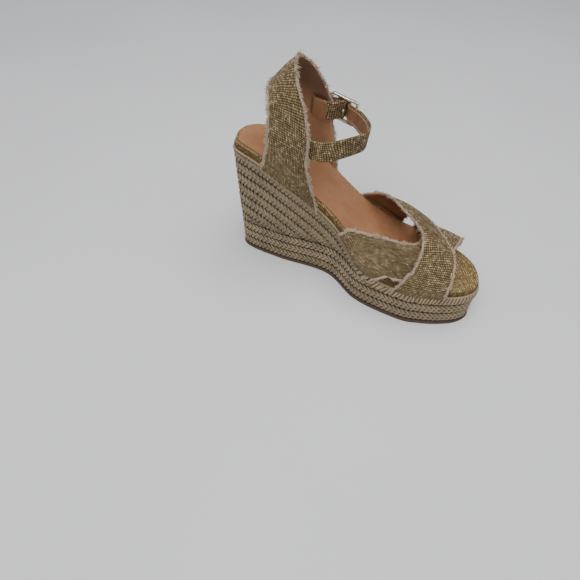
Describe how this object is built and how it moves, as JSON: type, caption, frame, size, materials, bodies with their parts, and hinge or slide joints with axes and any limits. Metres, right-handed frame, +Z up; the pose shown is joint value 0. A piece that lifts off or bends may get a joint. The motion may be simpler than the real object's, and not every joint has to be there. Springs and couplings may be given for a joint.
{
  "type": "wedge sandal",
  "caption": "Left espadrille wedge sandal: braided jute wedge, crossed canvas vamp straps, heel band and buckled ankle strap.",
  "frame": {"origin": "on the floor under the middle of the sandal's box", "axes": "+X from heel to toe, +Y to the outer side of the left foot, +Z up"},
  "size_m": [0.2336, 0.0863, 0.1779],
  "materials": {
    "rubber": "matte moulded rubber",
    "cork": "pressed cork",
    "jute": "braided natural jute",
    "board": "cellulose fibre board",
    "foam": "open cell foam",
    "insole_fabric": "woven metallic yarn, yellow gold",
    "canvas": "coarse canvas with metallic yarn, olive gold",
    "leather": "smooth tan leather",
    "metal": "polished pale gold plating"
  },
  "bodies": {
    "root": {"outsole": "rubber", "wedge_core": "cork", "platform_braid_1": "jute", "platform_braid_2": "jute", "platform_braid_3": "jute", "wedge_braid_1": "jute", "wedge_braid_2": "jute", "wedge_braid_3": "jute", "wedge_braid_4": "jute", "wedge_braid_5": "jute", "wedge_braid_6": "jute", "wedge_braid_7": "jute", "insole_board": "board", "footbed_foam": "foam", "insole_cover": "insole_fabric", "sock_lining": "leather", "vamp_strap_over": "canvas", "vamp_strap_over_lining": "leather", "vamp_strap_under": "canvas", "vamp_strap_under_lining": "leather", "heel_band": "canvas", "heel_band_lining": "leather", "tab_patch": "leather"},
    "ankle_loop": {"ankle_strap": "canvas", "ankle_strap_lining": "leather", "buckle_tab": "canvas"},
    "buckle": {"buckle_frame": "metal", "buckle_bar": "metal"},
    "prong": {"buckle_prong": "metal"}
  },
  "joints": [
    {"name": "ankle_strap_tilt", "type": "hinge", "parent": "root", "child": "ankle_loop", "pos_m": [-0.0415, -0.02736, 0.12495], "axis": [-0.1227, 0.99, 0.0701], "range_deg": [-8, 8]},
    {"name": "buckle_rock", "type": "hinge", "parent": "ankle_loop", "child": "buckle", "pos_m": [-0.039, 0.03464, 0.12995], "axis": [0.0861, -0.0136, 0.9962], "range_deg": [-3, 3]},
    {"name": "prong_lift", "type": "hinge", "parent": "buckle", "child": "prong", "pos_m": [-0.039, 0.03464, 0.12995], "axis": [0.0861, -0.0136, 0.9962], "range_deg": [0, 35]}
  ]
}
